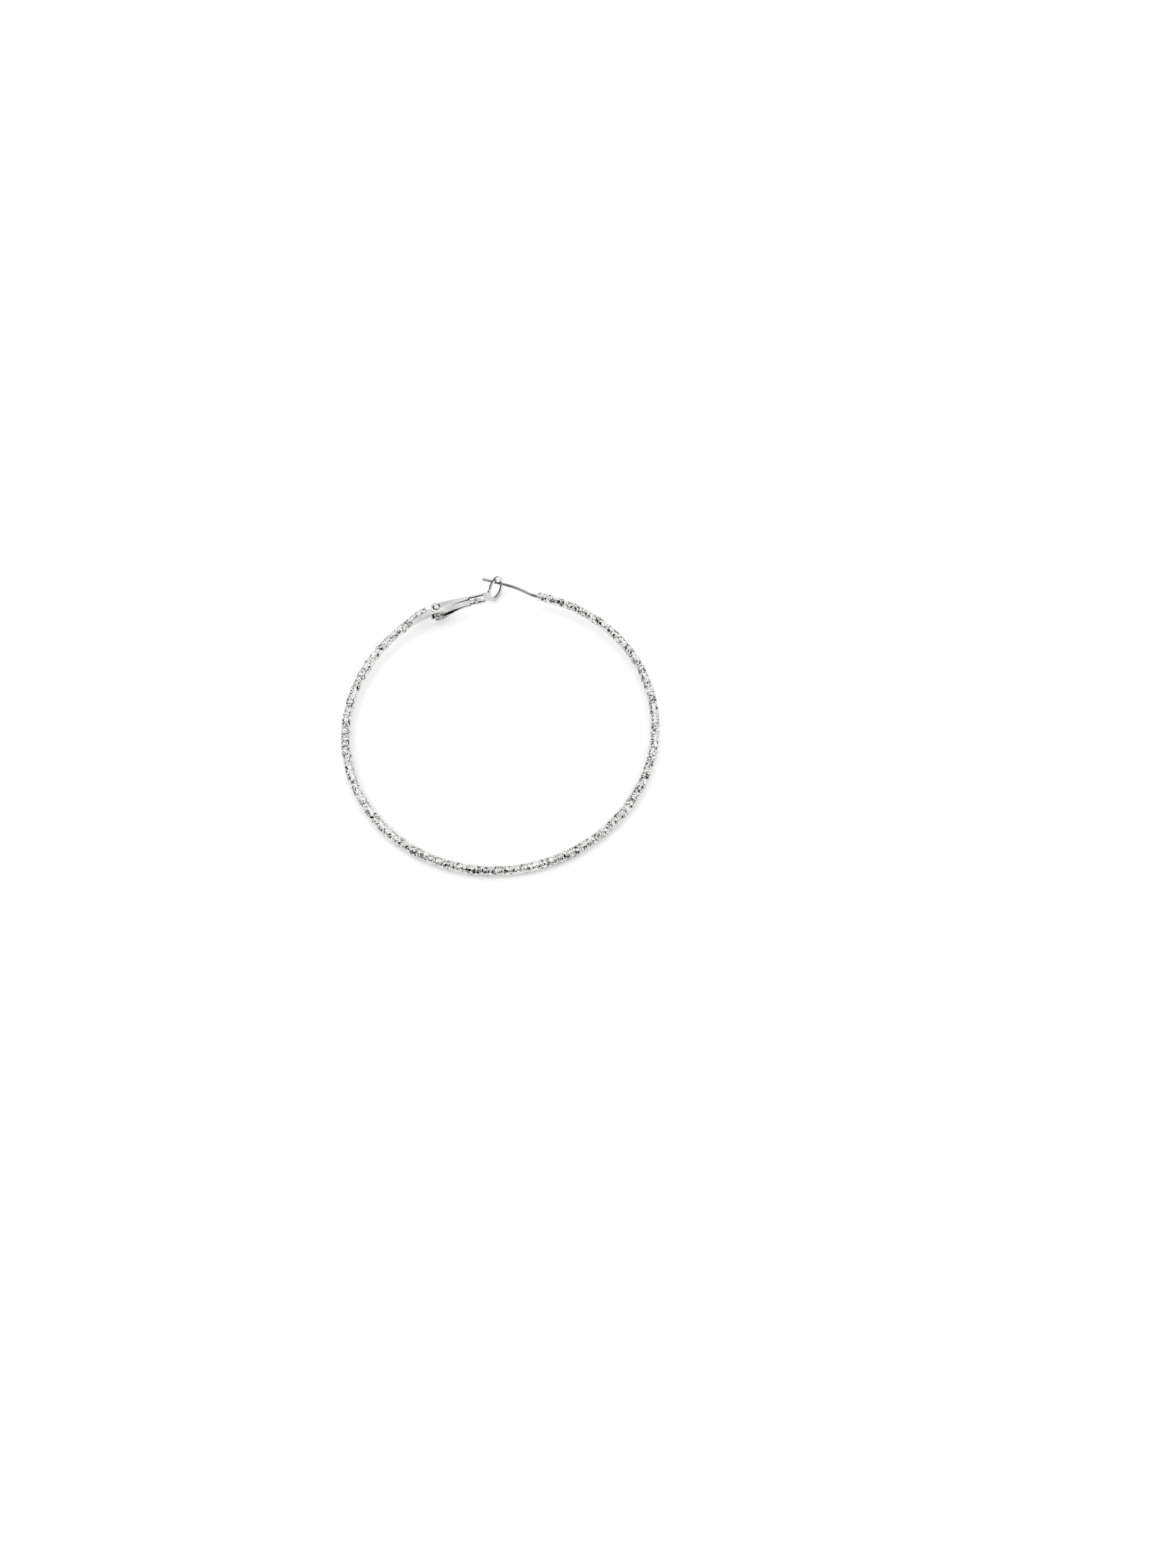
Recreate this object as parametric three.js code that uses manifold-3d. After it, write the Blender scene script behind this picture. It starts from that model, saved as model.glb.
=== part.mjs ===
import * as THREE from "three";
import { mergeVertices } from "three/addons/utils/BufferGeometryUtils.js";
import Module from "manifold-3d";

// A hammered wire hoop earring with a hinged lever clasp, in millimetres, lying on its side with +Z up.
// The opening frame has +X along the gap, from the hinge end to the post end, and +Y away from the hoop.
// The clasp frame has its origin on the hinge axis, X along the lever, Y outwards and Z along the axis.

const wasm = await Module();
wasm.setup();
const degrees = THREE.MathUtils.degToRad;

// Hoop: one round wire bent into an open ring
const hoopOuterDiameter = 70;
const wireDiameter = 2;
const openingWidth = 26; // straight across the gap, between the middles of the wire's two ends
const hingeEndFlare = 0.6; // the hinge end stands this far outside the true circle
const flareLength = 7; // how much of the wire strays outwards
const endNarrowing = 0.2; // the wire's radius is this much smaller at its two cut ends

// Hammering
const facetLength = 0.88; // along the wire, on average
const facetsAround = 12;
const dentDepth = 0.1; // how far a facet's corner may lie above or below the round wire
const facetWander = 0.28; // how far a corner strays along and around, as a share of a facet
const hammerSeed = 11;

// Ear post: a thin wire pressed into a hole in the hoop's end
const postDiameter = 0.7;
const postLength = 14.2; // straight from the hoop's end to the tip
const postRise = 30.5; // degrees that it leans outwards from the line of the opening
const postRootDepth = 3; // hidden in the hoop's end
const postTipBevel = 0.12;
const pressClearance = 0.05;

// Hinge: where it sits beside the hoop's end, and how the clasp is turned there
const hingeAlong = 2.35; // from the middle of the hoop's hinge end, along the opening
const hingeInset = 0.384; // inside the line of the opening
const hingeLift = 0.239; // above the hoop's middle plane
const claspTurn = 5; // degrees from the line of the opening, outwards
const claspRoll = 8; // degrees that the clasp's open side is rolled upwards

// Lever: sheet metal bent into a channel, with a flat ring turned up at its far end
const leverSheet = 0.4;
const leverWidthAtHinge = 3.4;
const leverWidthAtNeck = 2.8;
const heelRadius = 1.4; // round end of each cheek, about the hinge axis
const backRise = 0.18; // the channel's back climbs this far above its heels
const leverLength = 12.61; // from the hinge axis to the fold of the ring
const leverFoldRadius = 0.6; // at the middle of the sheet
const leverCornerRadius = 0.45;
const leverCornerShare = 0.8; // of a cheek's depth, at most, that its outer corner takes up
const webStart = 0.35; // the channel's back starts this far past the hinge axis
const neckEnd = 11.67; // where the channel's walls run out
const neckNarrowing = 0.11; // on each side, from the channel to the flat neck
const ringFold = 45.7; // degrees outwards from the lever
const ringRadius = 3.03;
const ringHoleRadius = 2.25;
const ringReach = 2.68; // from the fold to the ring's middle
const windowStart = 7.9; // slot in the neck for the spring's knob
const windowLength = 3.2;
const windowWidth = 1.4;

// Bracket: a shank let into the hoop's end, a fork for the hinge and a spring tongue
const shankRootThickness = 1.15; // where it meets the fork
const shankTipThickness = 0.42;
const shankHeight = 1.3;
const shankLength = 5;
const shankTurn = 19; // degrees from the lever, inwards
const shankInset = 0.3; // its inner face lies this far inside the hinge axis where it meets the fork
const shankClearance = 0.06;
const forkSheet = 0.4;
const forkRootLength = 0.4;
const forkSwingGap = 0.14; // between the fork's root and the lever's heel
const earRadius = 0.95;
const earInset = 0.08; // the ears' round ends sit this far inside the hinge axis
const earArmTop = 0.26; // the ears' arms stop this far outside the hinge axis
const sideClearance = 0.06; // between the ears and the lever's cheeks
const tongueThickness = 0.3;
const tongueWidth = 1.88;
const tongueLength = 7.77;
const knobRadius = 0.58;
const knobReach = 1.55; // from the tongue's end to the middle of the knob
const knobStem = 1.3; // how far the neck runs on past the middle of the knob
const knobNeckWidth = 0.76;
const knobNeckThickness = 0.24;

// Hinge rivets: one short rivet through each cheek and ear
const rivetShaftRadius = 0.5;
const rivetClearance = 0.05;
const rivetHeadRadius = 0.9;
const rivetHeadHeight = 0.32;
const rivetClinchRadius = 0.66;
const rivetClinchHeight = 0.1;

// How finely round forms are cut into flats
const roundSides = 32;
const ringSides = 56;
const postSides = 12;
const cornerSteps = 4;
const foldSteps = 6;
const knobDetail = 2;

const weldDistance = 1e-5; // points nearer than this are one point
const bodyOverlap = 0.02; // how far two pieces of one solid reach into each other

// How deep the channel's cheeks are, from the start of its back to its far end, as shares of that length
// and of the cheeks' full depth.
const cheekSections = [
  { along: 0, depth: 0.982 },
  { along: 0.042, depth: 0.972 },
  { along: 0.093, depth: 0.893 },
  { along: 0.155, depth: 0.757 },
  { along: 0.227, depth: 0.615 },
  { along: 0.31, depth: 0.495 },
  { along: 0.423, depth: 0.375 },
  { along: 0.526, depth: 0.305 },
  { along: 0.64, depth: 0.26 },
  { along: 0.66, depth: 0.225 },
  { along: 0.938, depth: 0.22 },
  { along: 1, depth: 0.15 },
];
const taperStart = 0.093; // where along it the channel starts to narrow
const taperEnd = 0.629; // and where it has narrowed
const riseEnd = 0.4; // where along it the back has risen

// The spring tongue, as shares of its own length, of the heels' radius, and of its width
const tongueSections = [
  { along: -0.2, out: -0.01, width: 0.68 },
  { along: 0.095, out: -0.03, width: 0.68 },
  { along: 0.15, out: 0, width: 1 },
  { along: 0.28, out: 0.13, width: 1 },
  { along: 0.45, out: 0.32, width: 1 },
  { along: 0.63, out: 0.5, width: 1 },
  { along: 0.82, out: 0.61, width: 1 },
  { along: 1, out: 0.665, width: 0.97 },
];
const knobOut = 0.68; // the middle of the knob, as a share of the heels' radius

// The post's gentle bow, as shares of its length
const postBow = [
  { along: 0.12, aside: -0.005 },
  { along: 0.26, aside: 0.016 },
  { along: 0.42, aside: 0.034 },
  { along: 0.6, aside: 0.031 },
  { along: 0.8, aside: 0.014 },
  { along: 1, aside: 0 },
];

// A rivet head's dome, as shares of its radius and height
const headDome = [
  { radius: 1, height: 0 },
  { radius: 1, height: 0.3 },
  { radius: 0.92, height: 0.62 },
  { radius: 0.72, height: 0.87 },
  { radius: 0.4, height: 0.97 },
  { radius: 0, height: 1 },
];

const wireRadius = wireDiameter / 2;
const centreRadius = hoopOuterDiameter / 2 - wireRadius;
const halfOpening = Math.asin(openingWidth / 2 / centreRadius);
const hoopCentre = new THREE.Vector3(0, -centreRadius * Math.cos(halfOpening), 0);
const postRadius = postDiameter / 2;
const shaftHole = rivetShaftRadius + rivetClearance;
const cheekOuter = leverWidthAtHinge / 2;
const earOuter = cheekOuter - leverSheet - sideClearance;
const earInner = earOuter - forkSheet;
const forkFront = -heelRadius - forkSwingGap;
const neckMiddle = heelRadius + backRise - leverSheet / 2;

// Materials

function steel(colour, roughness) {
  return new THREE.MeshStandardMaterial({ color: colour, roughness, metalness: 1 });
}

const hammeredSteel = steel(0xdadcdd, 0.16);
const postSteel = steel(0xd4d6d7, 0.14);
const bracketSteel = steel(0xcfd1d3, 0.2);
const leverSteel = steel(0xd6d8da, 0.18);
const rivetSteel = steel(0xe0e2e3, 0.15);

// Shared helpers

function solidOf(geometry) {
  const bare = geometry.clone();
  bare.deleteAttribute("normal");
  bare.deleteAttribute("uv");
  const merged = mergeVertices(bare, weldDistance);
  const vertProperties = new Float32Array(merged.attributes.position.array);
  const triVerts = new Uint32Array(merged.index.array);
  return new wasm.Manifold(new wasm.Mesh({ numProp: 3, vertProperties, triVerts }));
}

function meshOf(name, solid, material) {
  const { vertProperties, triVerts } = solid.getMesh();
  const geometry = new THREE.BufferGeometry();
  geometry.setAttribute("position", new THREE.BufferAttribute(vertProperties, 3));
  geometry.setIndex(new THREE.BufferAttribute(triVerts, 1));
  const mesh = new THREE.Mesh(geometry, material);
  mesh.name = name;
  return mesh;
}

// A closed solid through a row of outlines with equal numbers of points, each placed in space.
function loft(outlines, place) {
  const sides = outlines[0].length;
  const placed = outlines.flatMap((outline, row) => outline.map((point) => place(point, row)));
  const positions = placed.flatMap((point) => point.toArray());
  const faces = [];
  for (let row = 0; row + 1 < outlines.length; row++) {
    for (let side = 0; side < sides; side++) {
      const near = row * sides + side;
      const nearNext = row * sides + ((side + 1) % sides);
      const far = near + sides;
      const farNext = nearNext + sides;
      if (row % 2) faces.push(near, nearNext, farNext, near, farNext, far);
      else faces.push(near, nearNext, far, nearNext, farNext, far);
    }
  }
  const last = (outlines.length - 1) * sides;
  for (const [a, b, c] of THREE.ShapeUtils.triangulateShape(outlines[0], [])) faces.push(c, b, a);
  for (const [a, b, c] of THREE.ShapeUtils.triangulateShape(outlines.at(-1), [])) {
    faces.push(last + a, last + b, last + c);
  }
  const geometry = new THREE.BufferGeometry();
  geometry.setAttribute("position", new THREE.Float32BufferAttribute(positions, 3));
  geometry.setIndex(faces);
  return solidOf(geometry);
}

function box(low, high) {
  const size = high.map((value, axis) => value - low[axis]);
  const middle = high.map((value, axis) => (value + low[axis]) / 2);
  return solidOf(new THREE.BoxGeometry(...size).translate(...middle));
}

// A disc or bar of round section along Z, from one height to another.
function round(radius, bottom, top, sides) {
  const geometry = new THREE.CylinderGeometry(radius, radius, top - bottom, sides);
  return solidOf(geometry.rotateX(Math.PI / 2).translate(0, 0, (top + bottom) / 2));
}

// The same piece above the clasp's middle plane and mirrored below it.
function bothSides(makeSide) {
  return makeSide(1).add(makeSide(-1));
}

// Between the two heights that a distance from the middle plane gives on one side of it.
function sideSpan(side, inner, outer) {
  return side > 0 ? [inner, outer] : [-outer, -inner];
}

// Hoop

function wireOutline(row, rows, random) {
  const atEnd = row === 0 || row === rows;
  const outline = [];
  for (let side = 0; side < facetsAround; side++) {
    const wander = atEnd ? 0 : facetWander * (random() - 0.5) * 2;
    const turn = (Math.PI * 2 * (side + (row % 2) / 2 + wander)) / facetsAround;
    const dent = dentDepth * (random() * 2 - 1);
    const radius = atEnd ? wireRadius - endNarrowing : wireRadius + dent;
    outline.push(new THREE.Vector2(radius * Math.cos(turn), radius * Math.sin(turn)));
  }
  return outline;
}

function hammeredWire() {
  const startAngle = Math.PI / 2 - halfOpening;
  const sweep = 2 * (Math.PI - halfOpening);
  const rows = Math.round((sweep * centreRadius) / facetLength);
  THREE.MathUtils.seededRandom(hammerSeed);
  const random = () => THREE.MathUtils.seededRandom();
  const outlines = [];
  for (let row = 0; row <= rows; row++) outlines.push(wireOutline(row, rows, random));
  const shift = (facetWander * facetLength) / centreRadius;
  const place = (point, row) => {
    const atEnd = row === 0 || row === rows;
    const stray = atEnd ? 0 : shift * (random() * 2 - 1);
    const angle = startAngle - (sweep * row) / rows + stray;
    const toHingeEnd = (rows - row) * facetLength;
    const flare = hingeEndFlare * (1 - THREE.MathUtils.smoothstep(toHingeEnd, 0, flareLength));
    const reach = centreRadius + flare + point.x;
    return new THREE.Vector3(Math.cos(angle) * reach, Math.sin(angle) * reach, point.y).add(hoopCentre);
  };
  return loft(outlines, place);
}

function hoopSolid(claspPlace) {
  const hole = round(postRadius + pressClearance, -postRootDepth - pressClearance, wireDiameter, postSides);
  const placedHole = hole.transform(postPlace().toArray());
  const placedSeat = shankSeat().transform(claspPlace.toArray());
  return hammeredWire().subtract(placedHole).subtract(placedSeat);
}

// Ear post

// From a frame whose Z runs along the post's line, to the opening frame.
function postPlace() {
  const line = new THREE.Vector3(-Math.cos(degrees(postRise)), Math.sin(degrees(postRise)), 0);
  const up = new THREE.Vector3(0, 0, 1);
  const across = new THREE.Vector3().crossVectors(up, line);
  return new THREE.Matrix4().makeBasis(across, up, line).setPosition(openingWidth / 2, 0, 0);
}

function postSolid() {
  const root = [-postRootDepth, -postRootDepth / 2, 0].map((along) => new THREE.Vector3(0, 0, along));
  const bow = postBow.map(({ along, aside }) => {
    return new THREE.Vector3(-aside * postLength, 0, along * postLength);
  });
  const curve = new THREE.CatmullRomCurve3([...root, ...bow]);
  const steps = Math.round(postLength + postRootDepth);
  const shares = [];
  for (let step = 0; step < steps; step++) shares.push(step / steps);
  shares.push(1 - postTipBevel / (postLength + postRootDepth), 1);
  const outlines = shares.map((share) => {
    const radius = share < 1 ? postRadius : postRadius - postTipBevel;
    return new THREE.EllipseCurve(0, 0, radius, radius).getPoints(postSides).slice(1);
  });
  const place = (point, row) => {
    const forward = curve.getTangentAt(shares[row]);
    const across = new THREE.Vector3(forward.z, 0, -forward.x);
    const middle = curve.getPointAt(shares[row]);
    return middle.addScaledVector(across, point.x).add(new THREE.Vector3(0, point.y, 0));
  };
  return loft(outlines, place).transform(postPlace().toArray());
}

// Clasp lever

// The channel's section where its back stands at the given distance and its cheeks have the given depth.
function channelOutline(back, depth, halfWidth) {
  const free = back - depth;
  const corner = Math.min(leverCornerRadius, depth * leverCornerShare);
  const shape = new THREE.Shape();
  shape.moveTo(free, halfWidth - leverSheet);
  shape.lineTo(back - leverSheet, halfWidth - leverSheet);
  shape.lineTo(back - leverSheet, leverSheet - halfWidth);
  shape.lineTo(free, leverSheet - halfWidth);
  shape.lineTo(free, -halfWidth);
  shape.absarc(back - corner, corner - halfWidth, corner, -Math.PI / 2, 0, false);
  shape.absarc(back - corner, halfWidth - corner, corner, 0, Math.PI / 2, false);
  shape.lineTo(free, halfWidth);
  return shape.getPoints(cornerSteps);
}

function channelSolid() {
  const outlines = cheekSections.map(({ along, depth }) => {
    const taper = THREE.MathUtils.smoothstep(along, taperStart, taperEnd);
    const halfWidth = THREE.MathUtils.lerp(leverWidthAtHinge, leverWidthAtNeck, taper) / 2;
    const back = heelRadius + backRise * THREE.MathUtils.smoothstep(along, 0, riseEnd);
    return channelOutline(back, depth * heelRadius * 2, halfWidth);
  });
  return loft(outlines, (point, row) => {
    const reach = THREE.MathUtils.lerp(webStart, neckEnd, cheekSections[row].along);
    return new THREE.Vector3(reach, point.x, point.y);
  });
}

// The round end of one cheek, behind the channel's back.
function heelSolid(side) {
  const [bottom, top] = sideSpan(side, cheekOuter - leverSheet, cheekOuter);
  const low = [webStart + bodyOverlap, -heelRadius * 2, bottom - leverSheet];
  const high = [heelRadius * 2, heelRadius * 2, top + leverSheet];
  return round(heelRadius, bottom, top, roundSides).subtract(box(low, high));
}

// The sheet of the neck and the ring, seen along the hinge axis: flat, folded outwards, then flat.
function foldedStrip() {
  const fold = degrees(ringFold);
  const half = leverSheet / 2;
  const foldStart = leverLength - leverFoldRadius * Math.tan(fold / 2);
  const foldCentre = neckMiddle + leverFoldRadius;
  const far = ringReach + ringRadius + leverSheet;
  const end = (offset) => [
    leverLength + far * Math.cos(fold) + offset * Math.sin(fold),
    neckMiddle + far * Math.sin(fold) - offset * Math.cos(fold),
  ];
  const flat = -Math.PI / 2;
  const shape = new THREE.Shape();
  shape.moveTo(neckEnd - leverSheet, neckMiddle - half);
  shape.absarc(foldStart, foldCentre, leverFoldRadius + half, flat, flat + fold, false);
  shape.lineTo(...end(half));
  shape.lineTo(...end(-half));
  shape.absarc(foldStart, foldCentre, leverFoldRadius - half, flat + fold, flat, true);
  shape.lineTo(neckEnd - leverSheet, neckMiddle + half);
  const depth = 2 * (ringRadius + leverSheet);
  const options = { depth, bevelEnabled: false, curveSegments: foldSteps };
  return solidOf(new THREE.ExtrudeGeometry(shape, options).translate(0, 0, -depth / 2));
}

// From a frame whose Z runs along the ring's axis, to the clasp frame.
function ringPlace() {
  const fold = degrees(ringFold);
  const along = new THREE.Vector3(Math.cos(fold), Math.sin(fold), 0);
  const axis = new THREE.Vector3(-Math.sin(fold), Math.cos(fold), 0);
  const across = new THREE.Vector3().crossVectors(axis, along);
  const centre = new THREE.Vector3(leverLength, neckMiddle, 0).addScaledVector(along, ringReach);
  return new THREE.Matrix4().makeBasis(along, across, axis).setPosition(centre);
}

function ringSolid() {
  const place = ringPlace().toArray();
  const halfNeck = leverWidthAtNeck / 2 - neckNarrowing;
  const disc = round(ringRadius, -leverSheet, leverSheet, ringSides).transform(place);
  const neckLow = [neckEnd - leverSheet, 0, -halfNeck];
  const neckHigh = [leverLength + leverSheet, heelRadius * 2, halfNeck];
  const neck = box(neckLow, neckHigh);
  const hole = round(ringHoleRadius, -ringRadius, ringRadius, ringSides).transform(place);
  return foldedStrip().intersect(disc.add(neck)).subtract(hole);
}

function leverSolid() {
  const reach = cheekOuter + leverSheet;
  const axle = round(shaftHole, -reach, reach, roundSides);
  const slotEnd = windowStart + windowLength;
  const slot = box([windowStart, 0, -windowWidth / 2], [slotEnd, heelRadius * 2, windowWidth / 2]);
  return channelSolid().add(bothSides(heelSolid)).add(ringSolid()).subtract(axle).subtract(slot);
}

// Hinge bracket

// From a frame whose X runs back along the shank from the fork to the clasp frame. The shank's inner
// face lies on its Y = 0.
function shankPlace() {
  const turn = degrees(shankTurn);
  return new THREE.Matrix4().makeRotationZ(turn).setPosition(forkFront, -shankInset, 0);
}

// A wedge between two stations along the shank, from one height up to its outer face and a clearance.
function shankWedge(from, to, bottom, clearance, halfWidth) {
  const slope = (shankRootThickness - shankTipThickness) / shankLength;
  const stations = [from, to];
  const tops = stations.map((along) => shankRootThickness + slope * along + clearance);
  const outlines = tops.map((top) => rectangle((top - bottom) / 2, halfWidth));
  const place = (point, row) => {
    return new THREE.Vector3(stations[row], (tops[row] + bottom) / 2 + point.x, point.y);
  };
  return loft(outlines, place).transform(shankPlace().toArray());
}

function shankSolid() {
  return shankWedge(-shankLength, 0, 0, 0, shankHeight / 2);
}

// What is ground off the hoop's end so that the shank lies flat against it.
function shankSeat() {
  return shankWedge(-shankLength - shankClearance, shankLength, -wireDiameter, shankClearance, wireDiameter);
}

function earSolid(side) {
  const [bottom, top] = sideSpan(side, earInner, earOuter);
  const end = round(earRadius, bottom, top, roundSides).translate([0, -earInset, 0]);
  const arm = box([forkFront - forkRootLength / 2, -earRadius, bottom], [0, earArmTop, top]);
  const reach = top - bottom;
  return end.add(arm).subtract(round(shaftHole, bottom - reach, top + reach, roundSides));
}

function forkRoot() {
  return box([forkFront - forkRootLength, -earRadius, -earOuter], [forkFront, earArmTop, earOuter]);
}

function rectangle(halfThickness, halfWidth) {
  return [
    new THREE.Vector2(-halfThickness, -halfWidth),
    new THREE.Vector2(halfThickness, -halfWidth),
    new THREE.Vector2(halfThickness, halfWidth),
    new THREE.Vector2(-halfThickness, halfWidth),
  ];
}

function tongueSolid() {
  const half = tongueThickness / 2;
  const outlines = tongueSections.map(({ width }) => rectangle(half, (width * tongueWidth) / 2));
  return loft(outlines, (point, row) => {
    const { along, out } = tongueSections[row];
    return new THREE.Vector3(along * tongueLength, out * heelRadius + point.x, point.y);
  });
}

function knobSolid() {
  const root = new THREE.Vector3(tongueLength - knobNeckWidth, tongueSections.at(-1).out * heelRadius, 0);
  const middle = new THREE.Vector3(tongueLength + knobReach, knobOut * heelRadius, 0);
  const tip = middle.clone().add(new THREE.Vector3(knobStem, 0, 0));
  const section = rectangle(knobNeckThickness / 2, knobNeckWidth / 2);
  const neck = loft([section, section, section], (point, row) => {
    const station = [root, middle, tip][row];
    return station.clone().add(new THREE.Vector3(0, point.x, point.y));
  });
  const ball = solidOf(new THREE.IcosahedronGeometry(knobRadius, knobDetail));
  return neck.add(ball.translate(middle.toArray()));
}

function bracketSolid() {
  return shankSolid().add(forkRoot()).add(bothSides(earSolid)).add(tongueSolid()).add(knobSolid());
}

// Hinge rivets

function rivetSolid() {
  const headBase = cheekOuter + rivetClearance;
  const clinchTop = earInner - rivetClearance;
  const profile = [
    new THREE.Vector2(0, clinchTop - rivetClinchHeight),
    new THREE.Vector2(rivetClinchRadius, clinchTop - rivetClinchHeight),
    new THREE.Vector2(rivetClinchRadius, clinchTop),
    new THREE.Vector2(rivetShaftRadius, clinchTop),
    new THREE.Vector2(rivetShaftRadius, headBase),
  ];
  for (const { radius, height } of headDome) {
    profile.push(new THREE.Vector2(radius * rivetHeadRadius, headBase + height * rivetHeadHeight));
  }
  return solidOf(new THREE.LatheGeometry(profile, roundSides).rotateX(Math.PI / 2));
}

// Assembly

function claspGroup() {
  const clasp = new THREE.Group();
  clasp.position.set(hingeAlong - openingWidth / 2, -hingeInset, hingeLift);
  clasp.rotation.set(-degrees(claspRoll), 0, degrees(claspTurn), "ZYX");
  clasp.updateMatrix();
  const upperRivet = meshOf("hinge_rivet_upper", rivetSolid(), rivetSteel);
  const lowerRivet = meshOf("hinge_rivet_lower", rivetSolid(), rivetSteel.clone());
  lowerRivet.rotation.x = Math.PI;
  clasp.add(upperRivet, lowerRivet);
  clasp.add(meshOf("hinge_bracket", bracketSolid(), bracketSteel));
  clasp.add(meshOf("clasp_lever", leverSolid(), leverSteel));
  return clasp;
}

function lowestPoint(group) {
  const lowest = new THREE.Vector3(0, 0, Infinity);
  const corner = new THREE.Vector3();
  group.updateMatrixWorld(true);
  group.traverse((piece) => {
    if (!piece.isMesh) return;
    const positions = piece.geometry.getAttribute("position");
    for (let index = 0; index < positions.count; index++) {
      corner.fromBufferAttribute(positions, index).applyMatrix4(piece.matrixWorld);
      if (corner.z < lowest.z) lowest.copy(corner);
    }
  });
  return lowest;
}

// The earring leans on the lowest edge of its clasp's ring and on the wire across from it.
function restTurn(clasp) {
  const contact = lowestPoint(clasp).sub(hoopCentre);
  const outwards = new THREE.Vector3(contact.x, contact.y, 0);
  const drop = -contact.z - wireRadius;
  const lean = Math.atan2(drop, outwards.length() + centreRadius);
  const axis = new THREE.Vector3(outwards.y, -outwards.x, 0).normalize();
  return new THREE.Quaternion().setFromAxisAngle(axis, lean);
}

function earringGroup() {
  const clasp = claspGroup();
  const earring = new THREE.Group();
  earring.add(meshOf("hoop", hoopSolid(clasp.matrix), hammeredSteel));
  earring.add(meshOf("ear_post", postSolid(), postSteel));
  earring.add(clasp);
  earring.quaternion.copy(restTurn(clasp));
  const bounds = new THREE.Box3().setFromObject(earring, true);
  const middle = bounds.getCenter(new THREE.Vector3());
  earring.position.set(-middle.x, -middle.y, -bounds.min.z);
  const part = new THREE.Group();
  part.add(earring);
  return part;
}

export default earringGroup();
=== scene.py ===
import math
import random

import bmesh
import bpy
from mathutils import Matrix, Vector, noise


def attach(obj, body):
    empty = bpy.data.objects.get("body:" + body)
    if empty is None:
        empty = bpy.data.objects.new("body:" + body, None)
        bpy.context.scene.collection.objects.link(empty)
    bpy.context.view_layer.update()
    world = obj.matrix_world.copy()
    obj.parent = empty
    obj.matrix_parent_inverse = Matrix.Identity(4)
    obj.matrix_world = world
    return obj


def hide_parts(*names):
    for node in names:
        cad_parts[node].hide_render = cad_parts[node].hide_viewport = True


# A hammered steel hoop earring with a lever clasp, lying on a white table under a light tent.

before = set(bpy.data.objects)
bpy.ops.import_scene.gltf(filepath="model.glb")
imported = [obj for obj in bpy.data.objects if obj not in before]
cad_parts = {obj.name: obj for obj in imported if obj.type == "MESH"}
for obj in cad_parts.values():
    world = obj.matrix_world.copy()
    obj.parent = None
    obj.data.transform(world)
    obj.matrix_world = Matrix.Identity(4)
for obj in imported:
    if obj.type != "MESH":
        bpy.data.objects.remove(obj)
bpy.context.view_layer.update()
print("frame loaded:", ", ".join(sorted(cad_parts)))

mm = 0.001
deg = math.radians

# how the earring leans on its clasp, and where its two frames sit on the table (mm, degrees)
restPlan = {
    "leanAxis": (0.99492, -0.10063, 0.0),
    "leanAngle": 1.8533,
    "hoopCentre": (-0.00884, -1.93731, 2.17540),
    "hingeCentre": (-10.66118, 29.07205, 3.37802),
    "claspTurn": 5.0,
    "claspRoll": -8.0,
    "shankStart": (-1.54, -0.3),
    "shankTurn": 19.0,
}
lean = Matrix.Rotation(deg(restPlan["leanAngle"]), 4, Vector(restPlan["leanAxis"]))
hoopPlace = Matrix.Translation(Vector(restPlan["hoopCentre"]) * mm) @ lean
claspPlace = (
    Matrix.Translation(Vector(restPlan["hingeCentre"]) * mm)
    @ lean
    @ Matrix.Rotation(deg(restPlan["claspTurn"]), 4, "Z")
    @ Matrix.Rotation(deg(restPlan["claspRoll"]), 4, "X")
)
shankPlace = (
    claspPlace
    @ Matrix.Translation(Vector((*restPlan["shankStart"], 0.0)) * mm)
    @ Matrix.Rotation(deg(restPlan["shankTurn"]), 4, "Z")
)


# materials

def hexColor(code):
    channels = [int(code[i:i + 2], 16) / 255 for i in (1, 3, 5)]
    linear = [c / 12.92 if c <= 0.04045 else ((c + 0.055) / 1.055) ** 2.4 for c in channels]
    return (*linear, 1.0)


# the sockets of a Mix node that carry colours, by number, because their names are shared with others
mixFirst, mixSecond, mixResult = 6, 7, 2


def addNode(tree, kind, inputs=None, **settings):
    node = tree.nodes.new(kind)
    for name, value in settings.items():
        setattr(node, name, value)
    for key, value in (inputs or {}).items():
        if isinstance(value, bpy.types.NodeSocket):
            tree.links.new(value, node.inputs[key])
        else:
            node.inputs[key].default_value = value
    return node


def fillRamp(node, stops):
    ramp = node.color_ramp
    while len(ramp.elements) < len(stops):
        ramp.elements.new(0.5)
    for element, (position, color) in zip(ramp.elements, stops):
        element.position = position
        element.color = hexColor(color)
    return node.outputs["Color"]


def startMaterial(name):
    material = bpy.data.materials.new(name)
    material.use_nodes = True
    tree = material.node_tree
    tree.nodes.clear()
    shader = addNode(tree, "ShaderNodeBsdfPrincipled")
    addNode(tree, "ShaderNodeOutputMaterial", {"Surface": shader.outputs["BSDF"]})
    coords = addNode(tree, "ShaderNodeTexCoord").outputs["Object"]
    return material, tree, shader, coords


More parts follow.
